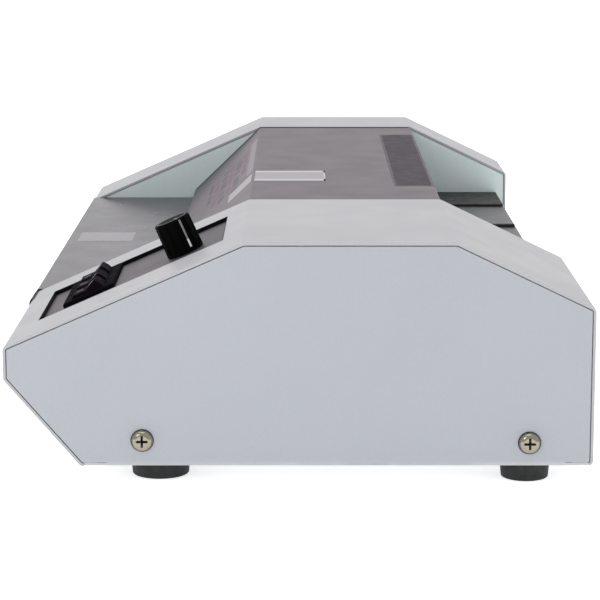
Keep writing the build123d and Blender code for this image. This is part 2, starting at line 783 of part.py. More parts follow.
def gearmotor():
    """Flat geared motor on its bracket, and the pinion on its output shaft."""
    floor_top = foot_height + sheet
    with BuildPart() as pinion:
        extrude(gear_face(gear_x, pinion_y, pinion_z, pinion_teeth, 180 / pinion_teeth), amount=gear_width)
        rod(gear_x + gear_width, motor_face_x + 10, pinion_y, pinion_z, pinion_shaft_radius)
    save(pinion.part, "motor_pinion")
    with BuildPart() as motor:
        rod(motor_face_x, motor_face_x + motor_length, pinion_y, motor_centre_z, motor_radius)
        rod(motor_face_x - 2, motor_face_x, pinion_y, pinion_z, motor_nose_radius)
        for side in (-1, 1):
            lug_y = pinion_y + side * motor_lug_offset
            block(motor_face_x, motor_face_x + 2, lug_y - motor_lug_half, lug_y + motor_lug_half,
                  motor_centre_z - motor_lug_half, motor_centre_z + motor_lug_half)
        rod(motor_face_x - 3, motor_face_x + 11, pinion_y, pinion_z,
            pinion_shaft_radius + journal_clearance, Mode.SUBTRACT)
        fillet(motor.edges().filter_by(GeomType.CIRCLE).group_by(Axis.X)[-1], 2.0)
    save(motor.part, "gearmotor")
    with BuildPart() as bracket:
        block(motor_face_x - 2 * sheet, motor_face_x, pinion_y - bracket_half, pinion_y + bracket_half,
              floor_top, motor_centre_z + 10)
        block(motor_face_x, motor_face_x + bracket_foot, pinion_y - bracket_half, pinion_y + bracket_half,
              floor_top, floor_top + sheet)
        rod(motor_face_x - 5, motor_face_x + 1, pinion_y, pinion_z, motor_nose_radius + 0.2, Mode.SUBTRACT)
    save(bracket.part, "motor_bracket")


# ================================ controls ================================

def control_panel():
    """Plate under the cut-out of the right housing, with holes for the switches and the knob."""
    low_x = recess_low_x - panel_margin
    high_x = recess_high_x + panel_margin
    low_s = recess_low_s - panel_margin
    high_s = recess_high_s + panel_margin
    half_width_of_hole = switch_body_width / 2 + pan_gap
    half_length_of_hole = switch_body_length / 2 + pan_gap
    under = -panel_depth - panel_thickness
    with BuildPart() as panel:
        add(slope_box(low_x, high_x, low_s, high_s, under, -sheet))
        add(slope_box(recess_low_x - 1, recess_high_x + 1, recess_low_s - 1, recess_high_s + 1,
                      -panel_depth, sheet), mode=Mode.SUBTRACT)
        for x in switch_centres_x:
            add(slope_box(x - half_width_of_hole, x + half_width_of_hole,
                          switch_centre_s - half_length_of_hole, switch_centre_s + half_length_of_hole,
                          under - 1, sheet), mode=Mode.SUBTRACT)
        add(slope_disc(knob_x, knob_s, pot_bush_radius + pan_gap, under - 1, sheet), mode=Mode.SUBTRACT)
    save(panel.part, "control_panel")


def rocker_plane(x, tilt_degrees=0.0):
    """Plane through a rocker's pivot: local x up the slope, turned by tilt_degrees, local y out of it."""
    pivot = slope.from_local_coords(Vector(x, switch_centre_s, bezel_top - rocker_pivot_below_bezel))
    tilt = math.radians(tilt_degrees)
    along = slope.y_dir * math.cos(tilt) + slope.z_dir * math.sin(tilt)
    return Plane(origin=pivot, x_dir=along, z_dir=(1, 0, 0))


def switch_body(name, x):
    """Bezel, hollow body and blade terminals of one rocker switch."""
    body_bottom = -panel_depth - switch_body_depth
    cavity_bottom = bezel_top - rocker_pivot_below_bezel - rocker_skirt - rocker_sweep_depth
    cavity_half_width = rocker_width / 2 + rocker_side_gap
    cavity_half_length = rocker_radius + rocker_end_gap
    pin_length = rocker_width + 2 * (rocker_pin_length + rocker_side_gap)
    with BuildPart() as body:
        add(slope_box(x - bezel_width / 2, x + bezel_width / 2, switch_centre_s - bezel_length / 2,
                      switch_centre_s + bezel_length / 2, -panel_depth, bezel_top))
        chamfer(body.faces().filter_by(slope).sort_by(Axis.Z)[-1].edges(), bezel_chamfer)
        add(slope_box(x - switch_body_width / 2, x + switch_body_width / 2,
                      switch_centre_s - switch_body_length / 2, switch_centre_s + switch_body_length / 2,
                      body_bottom, -panel_depth))
        add(slope_box(x - cavity_half_width, x + cavity_half_width,
                      switch_centre_s - cavity_half_length, switch_centre_s + cavity_half_length,
                      cavity_bottom, bezel_top + 1), mode=Mode.SUBTRACT)
        with BuildSketch(rocker_plane(x - pin_length / 2)) as pin_hole:
            Circle(rocker_pin_radius + journal_clearance)
        extrude(pin_hole.sketch, amount=pin_length, mode=Mode.SUBTRACT)
        for step in (-1, 0, 1):
            blade_s = switch_centre_s + step * blade_pitch
            add(slope_box(x - blade_width / 2, x + blade_width / 2, blade_s - blade_thickness / 2,
                          blade_s + blade_thickness / 2, body_bottom - blade_length, body_bottom))
    save(body.part, name)


def rocker(name, x):
    """Paddle of one switch, at rest with its rear half raised and its front half level."""
    peak = math.radians(rocker_peak_angle)
    reach = rocker_radius * math.cos(peak)
    rise = rocker_radius * math.sin(peak)
    crown = rise - reach * math.tan(math.radians(rocker_tilt))
    low_reach = math.sqrt(rocker_radius ** 2 - rocker_skirt ** 2)
    with BuildPart() as paddle:
        with BuildSketch(rocker_plane(x - rocker_width / 2, rocker_tilt)):
            with BuildLine():
                Line((-low_reach, -rocker_skirt), (low_reach, -rocker_skirt))
                ThreePointArc((low_reach, -rocker_skirt), (rocker_radius, 0), (reach, rise))
                Line((reach, rise), (0, crown))
                Line((0, crown), (-reach, rise))
                ThreePointArc((-reach, rise), (-rocker_radius, 0), (-low_reach, -rocker_skirt))
            make_face()
        extrude(amount=rocker_width)
        with BuildSketch(rocker_plane(x - rocker_width / 2 - rocker_pin_length)):
            Circle(rocker_pin_radius)
        extrude(amount=rocker_width + 2 * rocker_pin_length)
    save(paddle.part, name)


def temperature_knob():
    """Fluted, slightly tapered knob and the shaft it is pressed on; both turn together."""
    centre = slope.from_local_coords(Vector(knob_x, knob_s, knob_gap - panel_depth))
    base = Plane(origin=centre, x_dir=slope.x_dir, z_dir=slope.z_dir)
    height = knob_top + panel_depth - knob_gap
    first_flute = knob_pointer_angle + 180 / knob_flutes
    with BuildPart() as knob:
        with BuildSketch(base):
            Circle(knob_base_radius)
        extrude(amount=height - knob_rim_chamfer, taper=knob_taper)
        with BuildSketch(base.offset(height - knob_rim_chamfer)):
            Circle(knob_base_radius - (height - knob_rim_chamfer) * math.tan(math.radians(knob_taper)))
        extrude(amount=knob_rim_chamfer, taper=45)
        with BuildSketch(base.offset(knob_plain_band)):
            with PolarLocations(knob_flute_circle, knob_flutes, start_angle=first_flute):
                Circle(knob_flute_radius)
        extrude(amount=height, mode=Mode.SUBTRACT)
        with BuildSketch(base):
            Circle(knob_hollow_radius)
        extrude(amount=knob_hollow_depth, mode=Mode.SUBTRACT)
        with BuildSketch(base):
            Circle(pot_shaft_radius)
        extrude(amount=height - knob_cap, mode=Mode.SUBTRACT)
    save(knob.part, "temperature_knob")
    with BuildPart() as shaft:
        add(slope_disc(knob_x, knob_s, pot_shaft_radius, -panel_depth - panel_thickness - pot_shaft_depth,
                       knob_top - knob_cap))
    save(shaft.part, "knob_shaft")


def potentiometer():
    """Potentiometer under the panel, and the nut that holds its bush."""
    under = -panel_depth - panel_thickness
    with BuildPart() as pot:
        add(slope_disc(knob_x, knob_s, pot_body_radius, under - pot_body_depth, under))
        add(slope_disc(knob_x, knob_s, pot_bush_radius, under, pot_bush_top - panel_depth))
        add(slope_box(knob_x - 5, knob_x + 5, knob_s - 15, knob_s - 6, under - pot_body_depth,
                      under - pot_body_depth + sheet))
        add(slope_disc(knob_x, knob_s, pot_shaft_radius + journal_clearance,
                       under - pot_shaft_depth - 0.2, pot_bush_top), mode=Mode.SUBTRACT)
        with BuildSketch(slope.offset(-panel_depth)) as nut:
            with Locations((knob_x, knob_s)):
                RegularPolygon(nut_radius, 6)
                Circle(pot_bush_radius, mode=Mode.SUBTRACT)
        extrude(nut.sketch, amount=nut_height)
    save(pot.part, "potentiometer")


# ================================ electrics ================================

def circuit_board():
    """Power board in the right housing, and its main parts."""
    x0, y0 = board_low
    x1, y1 = board_high
    top = board_z + board_thickness
    core_y = (y0 + 34, y0 + 62)
    fin_count = 7
    fin_pitch = 6.7
    capacitors = ((x0 + 24, y0 + 14, 6.5, 20.0), (x0 + 42, y0 + 14, 5.0, 14.0), (x0 + 22, y1 - 10, 4.0, 12.0))
    with BuildPart() as board:
        block(x0, x1, y0, y1, board_z, top)
        for x, y in standoff_places():
            post(x, y, board_z - 1, top + 1, board_hole_radius, Mode.SUBTRACT)
    save(board.part, "circuit_board")
    with BuildPart() as components:
        block(x0 + 30, x1 - 4, *core_y, top, top + 22)
        for winding_y in (core_y[0] - 4, core_y[1]):
            block(x0 + 34, x1 - 8, winding_y, winding_y + 4, top + 3, top + 19)
        block(x0 + 6, x0 + 8, y0 + 14, y0 + 56, top, top + 24)
        for fin in range(fin_count):
            fin_y = y0 + 14 + fin * fin_pitch
            block(x0 + 8, x0 + 16, fin_y, fin_y + 1.6, top, top + 24)
        for x, y, radius, height in capacitors:
            post(x, y, top, top + height, radius)
    save(components.part, "board_components")


def power_inlet():
    """Mains inlet in the back of the right housing, with three blades in its socket and a fuse drawer."""
    flange_y = rear_y + inlet_flange_proud
    blades = ((inlet_x - 7, inlet_z + 2), (inlet_x, inlet_z + 7), (inlet_x + 7, inlet_z + 2))
    with BuildPart() as inlet:
        for (half_x, half_z), y0, y1 in ((inlet_flange_half, rear_y, flange_y),
                                         (inlet_body_half, rear_y - inlet_body_depth, rear_y)):
            block(inlet_x - half_x, inlet_x + half_x, y0, y1, inlet_z - half_z, inlet_z + half_z)
        for (z0, z1), depth in ((socket_z, socket_depth), (drawer_z, drawer_depth)):
            block(inlet_x - socket_half, inlet_x + socket_half, rear_y - depth, flange_y + 1, z0, z1,
                  Mode.SUBTRACT)
        for x, z in blades:
            block(x - 1, x + 1, rear_y - socket_depth, rear_y - 1, z - 2, z + 2)
    save(inlet.part, "power_inlet")
    drawer_half = socket_half - drawer_gap
    groove_z = sum(drawer_z) / 2
    with BuildPart() as drawer:
        block(inlet_x - drawer_half, inlet_x + drawer_half, rear_y - drawer_depth + drawer_gap, flange_y,
              drawer_z[0] + drawer_gap, drawer_z[1] - drawer_gap)
        block(inlet_x - 5, inlet_x + 5, flange_y - 1, flange_y + 1, groove_z - 1, groove_z + 1, Mode.SUBTRACT)
    save(drawer.part, "fuse_drawer")


# ================================ feet and fasteners ================================

def rubber_feet():
    """Four round rubber feet, slightly tapered, each with a counterbore for its screw."""
    with BuildPart() as feet:
        for x, y, radius in (front_foot, rear_foot):
            for side in (-1, 1):
                with BuildSketch(Plane.XY.offset(foot_height)):
                    with Locations((side * x, y)):
                        Circle(radius)
                extrude(amount=-foot_height, taper=foot_taper)
        fillet(feet.edges().filter_by(GeomType.CIRCLE).group_by(Axis.Z)[0], 0.8)
        for x, y, _ in (front_foot, rear_foot):
            for side in (-1, 1):
                post(side * x, y, 0, foot_bore_depth, foot_bore_radius, Mode.SUBTRACT)
                post(side * x, y, 0, foot_height + 1, foot_hole_radius, Mode.SUBTRACT)
    save(feet.part, "rubber_feet")


def foot_screws():
    """Slotted pan-head screws that hold the feet to the base pan."""
    with BuildPart() as screws:
        for x, y, _ in (front_foot, rear_foot):
            for side in (-1, 1):
                post(side * x, y, foot_screw_recess, foot_bore_depth, foot_screw_head_radius)
                post(side * x, y, foot_bore_depth, foot_height + sheet + 3, foot_screw_radius)
                block(side * x - 2.6, side * x + 2.6, y - 0.5, y + 0.5, foot_screw_recess - 1,
                      foot_screw_recess + 1, Mode.SUBTRACT)
    save(screws.part, "foot_screws")


def side_panel_screws():
    """Cross-recess pan-head screws through the outer side panels."""
    cross_arms = ((cross_length, cross_width), (cross_width, cross_length))
    with BuildPart() as screws:
        for side in (-1, 1):
            face_x = side * half_width
            head_x = face_x + side * screw_head_height
            shank_x = face_x - side * screw_shank_length
            for y, z in side_screws:
                rod(min(face_x, head_x), max(face_x, head_x), y, z, screw_head_radius)
                rod(min(face_x, shank_x), max(face_x, shank_x), y, z, screw_shank_radius)
        for end in (0, -1):
            fillet(screws.edges().filter_by(GeomType.CIRCLE).group_by(Axis.X)[end], screw_head_rounding)
        for side in (-1, 1):
            head_x = side * (half_width + screw_head_height)
            floor_x = head_x - side * cross_depth
            for y, z in side_screws:
                for width, height in cross_arms:
                    block(min(head_x, floor_x), max(head_x, floor_x), y - width / 2, y + width / 2,
                          z - height / 2, z + height / 2, Mode.SUBTRACT)
    save(screws.part, "side_panel_screws")


def build_all():
    """Make every piece of the laminator."""
    housing_cover("right_cover", right_inner_x, half_width, True)
    housing_cover("left_cover", -half_width, left_inner_x, False)
    side_panel("right_side_panel", half_width, -1)
    side_panel("left_side_panel", -half_width, 1)
    inner_cheek("right_inner_cheek", right_inner_x, 1, True)
    inner_cheek("left_inner_cheek", left_inner_x, -1, False)
    base_pan()
    front_apron()
    rear_panel()
    edge_guard()
    feed_table()
    top_cover()
    vent_grille()
    exit_ledge()
    exit_ledge_ribs()
    tie_bars()
    heater_plate("lower_heater_plate", -1)
    heater_plate("upper_heater_plate", 1)
    heater_tubes()
    thermal_controls()
    half_pitch = 180 / roller_teeth
    roller("lower_hot_roller", front_roller_y, lower_roller_z, half_pitch)
    roller("upper_hot_roller", front_roller_y, upper_roller_z, 0)
    roller("lower_pull_roller", rear_roller_y, lower_roller_z, half_pitch)
    roller("upper_pull_roller", rear_roller_y, upper_roller_z, 0)
    lower_roller_bushes()
    pressure_blocks("hot_pressure_blocks", front_roller_y)
    pressure_blocks("pull_pressure_blocks", rear_roller_y)
    spring_seats()
    pressure_springs("hot_pressure_springs", front_roller_y)
    pressure_springs("pull_pressure_springs", rear_roller_y)
    idler()
    gearmotor()
    control_panel()
    for label, x in zip(("power", "heat", "reverse"), switch_centres_x):
        switch_body(f"{label}_switch_body", x)
        rocker(f"{label}_rocker", x)
    temperature_knob()
    potentiometer()
    circuit_board()
    power_inlet()
    rubber_feet()
    foot_screws()
    side_panel_screws()


build_all()
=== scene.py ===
"""Looks of the desktop pouch laminator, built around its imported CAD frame."""
import json
import math

import bmesh
import bpy
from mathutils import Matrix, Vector


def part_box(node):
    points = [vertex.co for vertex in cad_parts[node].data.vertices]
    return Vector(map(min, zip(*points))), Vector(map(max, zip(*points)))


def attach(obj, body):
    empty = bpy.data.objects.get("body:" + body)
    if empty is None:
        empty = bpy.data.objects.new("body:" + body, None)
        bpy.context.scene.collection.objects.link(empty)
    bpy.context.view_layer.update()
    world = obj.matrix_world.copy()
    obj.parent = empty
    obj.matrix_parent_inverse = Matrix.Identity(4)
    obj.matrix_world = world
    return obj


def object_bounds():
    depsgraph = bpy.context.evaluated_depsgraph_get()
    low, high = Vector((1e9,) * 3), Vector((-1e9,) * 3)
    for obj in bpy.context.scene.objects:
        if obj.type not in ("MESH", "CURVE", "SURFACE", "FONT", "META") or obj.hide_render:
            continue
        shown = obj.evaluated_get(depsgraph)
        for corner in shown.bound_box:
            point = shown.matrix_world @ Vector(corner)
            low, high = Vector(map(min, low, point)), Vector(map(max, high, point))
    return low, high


MM = 0.001

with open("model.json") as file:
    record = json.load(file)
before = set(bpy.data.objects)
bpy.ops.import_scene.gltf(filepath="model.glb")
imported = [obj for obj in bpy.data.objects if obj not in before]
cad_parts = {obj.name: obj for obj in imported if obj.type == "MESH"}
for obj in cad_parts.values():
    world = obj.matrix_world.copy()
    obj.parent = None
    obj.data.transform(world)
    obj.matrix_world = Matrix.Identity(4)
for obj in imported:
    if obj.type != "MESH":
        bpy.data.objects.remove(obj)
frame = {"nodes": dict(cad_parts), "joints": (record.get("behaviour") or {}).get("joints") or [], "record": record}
cad_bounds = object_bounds()
nodes = frame["nodes"]
joints = {joint["name"]: joint for joint in frame["joints"]}
slot_of = {part["node"]: part["material_slot"] for part in frame["record"]["subparts"]}

# ---- directions, and the control slope from the knob's hinge ----
ACROSS = Vector((1, 0, 0))
BACK = Vector((0, 1, 0))
UP = Vector((0, 0, 1))
SLOPE_OUT = Vector(joints["temperature_turn"]["axis"])
SLOPE_UP = SLOPE_OUT.cross(ACROSS)
KNOB_FOOT = Vector(joints["temperature_turn"]["pos_m"])

# ---- sizes of the CAD part that the frame's boxes don't give ----
SHEET = 1.2 * MM
PANEL_DEPTH = 1.9 * MM
PANEL_THICKNESS = 1.5 * MM
PANEL_MARGIN = 6.0 * MM
KNOB_BASE_RADIUS = 8.7 * MM
KNOB_TAPER = math.radians(1.3)
KNOB_TOP = 14.4 * MM
ROCKER_RADIUS = 7.85 * MM
ROCKER_TILT = math.radians(13)
ROCKER_PEAK = math.radians(40.6)
SCREW_HEAD_RADIUS = 4.8 * MM
SCREW_HEAD_HEIGHT = 2.8 * MM
SCREW_RECESS = 1.85 * MM
COVER_FOLD_Y = -24.0 * MM
COVER_FOOT_Z = 67.5 * MM

# ---- the top cover's front slope: along X, and down from the fold ----
COVER_LOW, COVER_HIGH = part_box("top_cover")
COVER_FOLD = Vector((0, COVER_FOLD_Y, COVER_HIGH.z))
COVER_FOOT = Vector((0, COVER_LOW.y, COVER_FOOT_Z))
COVER_DOWN = (COVER_FOOT - COVER_FOLD).normalized()
FIELD_MIDDLE_X = (COVER_LOW.x + COVER_HIGH.x) / 2

# ---- sizes of the thin pieces added here; a skin is how far one stands proud ----
# The control recess walls carry black sheets that are painted shade.
RECESS_SHADE_CLEARANCE = 0.1 * MM
RECESS_SHADE_SKIN = 0.35 * MM

POINTER_ANGLE = math.radians(28)
POINTER_FOOT = 0.4 * MM
POINTER_BREAK = 4.2 * MM
POINTER_END = KNOB_TOP - 0.7 * MM
POINTER_WIDTH = 0.9 * MM
POINTER_SKIN = 0.1 * MM
TOP_MARK_REACH = 5.6 * MM
TOP_MARK_LENGTH = 3.6 * MM
TOP_MARK_SKIN = 0.04 * MM
# The pale ring on the knob's top is a painted highlight of its rim.
RIM_INSET = 0.7 * MM
RIM_HIGHLIGHT_OUTER = 0.5 * MM
RIM_HIGHLIGHT_INNER = 0.9 * MM
RIM_HIGHLIGHT_SKIN = 0.05 * MM

TICK_STEPS = 10
LONG_TICK_EVERY = 5
TICK_CIRCLE = 10.6 * MM
LONG_TICK = 2.4 * MM
SHORT_TICK = 1.5 * MM
TICK_WIDTH = 0.5 * MM
TICK_SKIN = 0.03 * MM

ROCKER_BAR_WIDTH = 0.9 * MM
ROCKER_BAR_LENGTH = 3.4 * MM
ROCKER_RING_OUTER = 1.5 * MM
ROCKER_RING_INNER = 0.95 * MM
ROCKER_MARK_SKIN = 0.06 * MM

CROSS_LENGTH = 4.6 * MM
CROSS_WIDTH = 1.0 * MM
CROSS_LEVEL_SKIN = 0.06 * MM
CROSS_UPRIGHT_SKIN = 0.07 * MM
SEAT_RING_OUTER = 0.25 * MM
SEAT_RING_INNER = 0.05 * MM
SEAT_RING_SKIN = 0.2 * MM

LABEL_X = (48 * MM, 87 * MM)
LABEL_Y = (0.9 * MM, 37.5 * MM)
LABEL_BORDER = 7 * MM
LABEL_BACK_BORDER = 0.8 * MM
LABEL_BORDER_SKIN = 0.09 * MM
LABEL_TAIL_INSETS = (5 * MM, 4 * MM)
LABEL_TAIL_DOWN = (1.2 * MM, 18 * MM)

PRINT_SKIN = 0.05 * MM
PRINT_START_X = FIELD_MIDDLE_X - 76 * MM
PRINT_CELLS = 6
ROW_SHIFT = 0.35
ROW_SHIFT_PHASE = 1.9
CELL_FILL = 0.62
CELL_FILL_SWING = 0.3
CELL_FILL_PHASE = 2.1
ROW_FILL_PHASE = 1.3
PRINT_FRAME_X = (-30 * MM, 118 * MM)
PRINT_FRAME_DOWN = (1.2 * MM, 5.8 * MM)

TABLE_MARK_X = (-18 * MM, 12 * MM)
TABLE_MARK_Y = (6 * MM, 36 * MM)
TABLE_MARK_SKIN = 0.04 * MM

# The dark strips at the cover's ends are painted shade for the gap to the cheeks.
GAP_SHADE_WIDTH = 0.9 * MM
GAP_SHADE_SKIN = 0.3 * MM
GAP_SHADE_FOOT_GAP = 1 * MM
GAP_SHADE_BACK_GAP = 1.5 * MM


# ================================ materials ================================

NOISE_LOW = 0.3
NOISE_HIGH = 0.7


def srgb(red, green, blue):
    """A linear colour from 0 to 255 display values."""
    return [((value / 255 + 0.055) / 1.055) ** 2.4 for value in (red, green, blue)] + [1.0]


def scaled(color, factor):
    """A colour made lighter or darker."""
    return [channel * factor for channel in color[:3]] + [1.0]


class Shader:
    """A small helper that builds one material's node tree."""

    def __init__(self, name, color, roughness, metallic=0.0, **sockets):
        self.material = bpy.data.materials.new(name)
        self.material.use_nodes = True
        self.tree = self.material.node_tree
        self.principled = self.tree.nodes["Principled BSDF"]
        self.coords = self.add("ShaderNodeTexCoord").outputs["Object"]
        self.color = color
        self.normal = None
        self.principled.inputs["Base Color"].default_value = color
        self.principled.inputs["Roughness"].default_value = roughness
        self.principled.inputs["Metallic"].default_value = metallic
        for socket, value in sockets.items():
            self.principled.inputs[socket.replace("_", " ")].default_value = value

    def add(self, kind, **settings):
        """Add a node with its settings."""
        node = self.tree.nodes.new(kind)
        for name, value in settings.items():
            setattr(node, name, value)
        return node

    def link(self, output, target):
        """Link an output to an input."""
        self.tree.links.new(output, target)

    def noise(self, size_mm, detail=2.0, stretch=(1, 1, 1)):
        """Noise whose blobs are about size_mm across, stretched along the axes."""
        mapping = self.add("ShaderNodeMapping")
        mapping.inputs["Scale"].default_value = [1 / s for s in stretch]
        self.link(self.coords, mapping.inputs["Vector"])
        texture = self.add("ShaderNodeTexNoise")
        texture.inputs["Scale"].default_value = 1 / (size_mm * MM)
        texture.inputs["Detail"].default_value = detail
        self.link(mapping.outputs["Vector"], texture.inputs["Vector"])
        return texture.outputs["Fac"]

    def ranged(self, value, low, high):
        """A noise value remapped from its usual span to low..high."""
        node = self.add("ShaderNodeMapRange")
        self.link(value, node.inputs["Value"])
        for name, number in (("From Min", NOISE_LOW), ("From Max", NOISE_HIGH),
                             ("To Min", low), ("To Max", high)):
            node.inputs[name].default_value = number
        return node.outputs["Result"]

    def bump(self, height, depth_mm):
        """Add relief of depth_mm on top of any relief so far."""
        node = self.add("ShaderNodeBump")
        node.inputs["Strength"].default_value = 1.0
        node.inputs["Distance"].default_value = depth_mm * MM
        self.link(height, node.inputs["Height"])
        if self.normal is not None:
            self.link(self.normal, node.inputs["Normal"])
        self.normal = node.outputs["Normal"]
        self.link(self.normal, self.principled.inputs["Normal"])

    def roughen(self, value, low, high):
        """Let roughness wander between low and high with a noise value."""
        self.link(self.ranged(value, low, high), self.principled.inputs["Roughness"])

    def tint(self, value, other, amount):
        """Blend the base colour towards another colour by a noise value, up to amount."""
        mix = self.add("ShaderNodeMix", data_type="RGBA")
        self.link(self.ranged(value, 0.0, amount), mix.inputs["Factor"])
        source = self.principled.inputs["Base Color"]
        if source.is_linked:
            self.link(source.links[0].from_socket, mix.inputs["A"])
        else:
            mix.inputs["A"].default_value = self.color
        mix.inputs["B"].default_value = other
        self.link(mix.outputs["Result"], source)


def powder_coat(name, color):
    """Baked powder coat: orange-peel relief, a fine tooth, slight mottling and rubbed patches."""
    roughness = 0.45
    shader = Shader(name, color, roughness)
    shader.bump(shader.noise(1.4, detail=1.5), depth_mm=0.04)
    shader.bump(shader.noise(0.35, detail=1.0), depth_mm=0.008)
    shader.tint(shader.noise(70, detail=3.0), scaled(color, 0.95), amount=0.6)
    shader.tint(shader.noise(0.9), scaled(color, 1.08), amount=0.4)
    shader.roughen(shader.noise(25, detail=4.0), roughness - 0.05, roughness + 0.06)
    return shader.material


def dark_gloss_coat(name, color, roughness, fleck=1.5):
    """Dark baked enamel: fine flecks, soft relief and cloudy handling marks."""
    shader = Shader(name, color, roughness)
    shader.bump(shader.noise(1.1, detail=1.5), depth_mm=0.009)
    shader.bump(shader.noise(0.3, detail=1.0), depth_mm=0.004)
    shader.tint(shader.noise(0.7), scaled(color, fleck), amount=0.5)
    shader.tint(shader.noise(30, detail=3.0), scaled(color, 0.8), amount=0.5)
    shader.roughen(shader.noise(22, detail=3.0), roughness - 0.02, roughness + 0.03)
    return shader.material


def moulded_plastic(name, color, roughness, grain_mm=0.5, grain_depth=0.02, gloss=0.5):
    """Injection-moulded plastic with a fine spark-eroded grain."""
    shader = Shader(name, color, roughness, Specular_IOR_Level=gloss)
    shader.bump(shader.noise(grain_mm), depth_mm=grain_depth)
    shader.tint(shader.noise(8, detail=3.0), scaled(color, 1.6), amount=0.4)
    shader.roughen(shader.noise(6, detail=3.0), roughness - 0.08, roughness + 0.1)
    return shader.material


def rubber(name, color, roughness):
    """Matte moulded rubber with a dusty bloom."""
    dust = srgb(44, 44, 46)
    shader = Shader(name, color, roughness)
    shader.bump(shader.noise(0.7, detail=3.0), depth_mm=0.03)
    shader.tint(shader.noise(5, detail=4.0), dust, amount=0.2)
    shader.roughen(shader.noise(4, detail=3.0), roughness - 0.1, roughness + 0.08)
    return shader.material


def brushed_metal(name, color, roughness, along=(60, 1, 1), depth=0.01):
    """Metal with fine lines drawn along one axis, or round one."""
    shader = Shader(name, color, roughness, metallic=1.0)
    shader.bump(shader.noise(0.4, stretch=along), depth_mm=depth)
    shader.roughen(shader.noise(3, detail=3.0, stretch=along), roughness - 0.08, roughness + 0.12)
    shader.tint(shader.noise(15, detail=3.0), scaled(color, 0.8), amount=0.5)
    return shader.material


def plated(name, color, roughness):
    """Bright plating with faint handling marks."""
    shader = Shader(name, color, roughness, metallic=1.0)
    shader.bump(shader.noise(1.2), depth_mm=0.006)
    shader.roughen(shader.noise(2.0, detail=4.0), roughness - 0.06, roughness + 0.15)
    return shader.material


def silicone(name, color):
    """Smooth roller silicone with a soft sheen."""
    shader = Shader(name, color, 0.42, Sheen_Weight=0.2)
    shader.bump(shader.noise(2.0), depth_mm=0.01)
    shader.tint(shader.noise(20), scaled(color, 0.8), amount=0.6)
    shader.roughen(shader.noise(10), 0.36, 0.5)
    return shader.material


def printed(name, color, roughness=0.5, gloss=0.5):
    """Printing ink or a paper label, slightly uneven."""
    shader = Shader(name, color, roughness, Specular_IOR_Level=gloss)
    shader.tint(shader.noise(1.2, detail=3.0), scaled(color, 0.85), amount=0.5)
    shader.bump(shader.noise(0.5), depth_mm=0.004)
    return shader.material


# ---- each material slot's finish, colour and settings ----
SLOT_LOOKS = {
    "case_paint": (powder_coat, srgb(168, 168, 172), {}),
    "panel_paint": (powder_coat, srgb(163, 167, 173), {}),
    "cheek_paint": (powder_coat, srgb(206, 220, 219), {}),
    "table_paint": (dark_gloss_coat, srgb(50, 41, 54), {"roughness": 0.28}),
    "top_cover_paint": (dark_gloss_coat, srgb(67, 51, 63), {"roughness": 0.42}),
    "ledge_paint": (dark_gloss_coat, srgb(48, 46, 52), {"roughness": 0.36}),
    "control_panel_paint": (dark_gloss_coat, srgb(66, 59, 67), {"roughness": 0.5, "fleck": 1.9}),
    "vent_plastic": (moulded_plastic, srgb(86, 80, 87),
                     {"roughness": 0.64, "grain_depth": 0.01, "gloss": 0.3}),
    "base_zinc": (brushed_metal, srgb(176, 178, 180), {"roughness": 0.4, "along": (1, 30, 1)}),
    "zinc_steel": (brushed_metal, srgb(190, 190, 188), {"roughness": 0.35}),
    "bright_steel": (brushed_metal, srgb(205, 205, 206),
                     {"roughness": 0.22, "along": (1, 20, 20), "depth": 0.006}),
    "black_rubber": (rubber, srgb(9, 9, 11), {"roughness": 0.66}),
    "switch_plastic": (moulded_plastic, srgb(14, 12, 15), {"roughness": 0.7, "gloss": 0.01}),
    "rocker_plastic": (moulded_plastic, srgb(20, 15, 22),
                       {"roughness": 0.6, "grain_mm": 0.4, "grain_depth": 0.006, "gloss": 0.01}),
    "knob_plastic": (moulded_plastic, srgb(7, 7, 8),
                     {"roughness": 0.55, "grain_mm": 0.4, "grain_depth": 0.01, "gloss": 0.02}),
    "silicone": (silicone, srgb(150, 62, 40), {}),
    "gear_plastic": (moulded_plastic, srgb(226, 224, 214), {"roughness": 0.45}),
    "bush_bronze": (brushed_metal, srgb(190, 150, 96), {"roughness": 0.4, "along": (1, 8, 8)}),
    "block_plastic": (moulded_plastic, srgb(40, 40, 42), {"roughness": 0.5}),
    "spring_steel": (plated, srgb(170, 170, 172), {"roughness": 0.3}),
    "heater_aluminium": (brushed_metal, srgb(214, 214, 216), {"roughness": 0.35, "along": (80, 1, 1)}),
    "heater_sheath": (brushed_metal, srgb(150, 146, 138), {"roughness": 0.4}),
    "control_phenolic": (moulded_plastic, srgb(80, 52, 36), {"roughness": 0.5}),
    "motor_can": (brushed_metal, srgb(188, 188, 184), {"roughness": 0.35, "along": (1, 10, 10)}),
    "pot_body": (plated, srgb(176, 176, 172), {"roughness": 0.3}),
    "board_laminate": (moulded_plastic, srgb(46, 110, 62), {"roughness": 0.35}),
    "board_parts": (moulded_plastic, srgb(52, 52, 60), {"roughness": 0.45}),
    "inlet_plastic": (moulded_plastic, srgb(28, 28, 30), {"roughness": 0.48}),
    "nickel_screws": (plated, srgb(150, 144, 130), {"roughness": 0.1}),
}
SLOT_MATERIALS = {slot: finish(slot, color, **settings)
                  for slot, (finish, color, settings) in SLOT_LOOKS.items()}

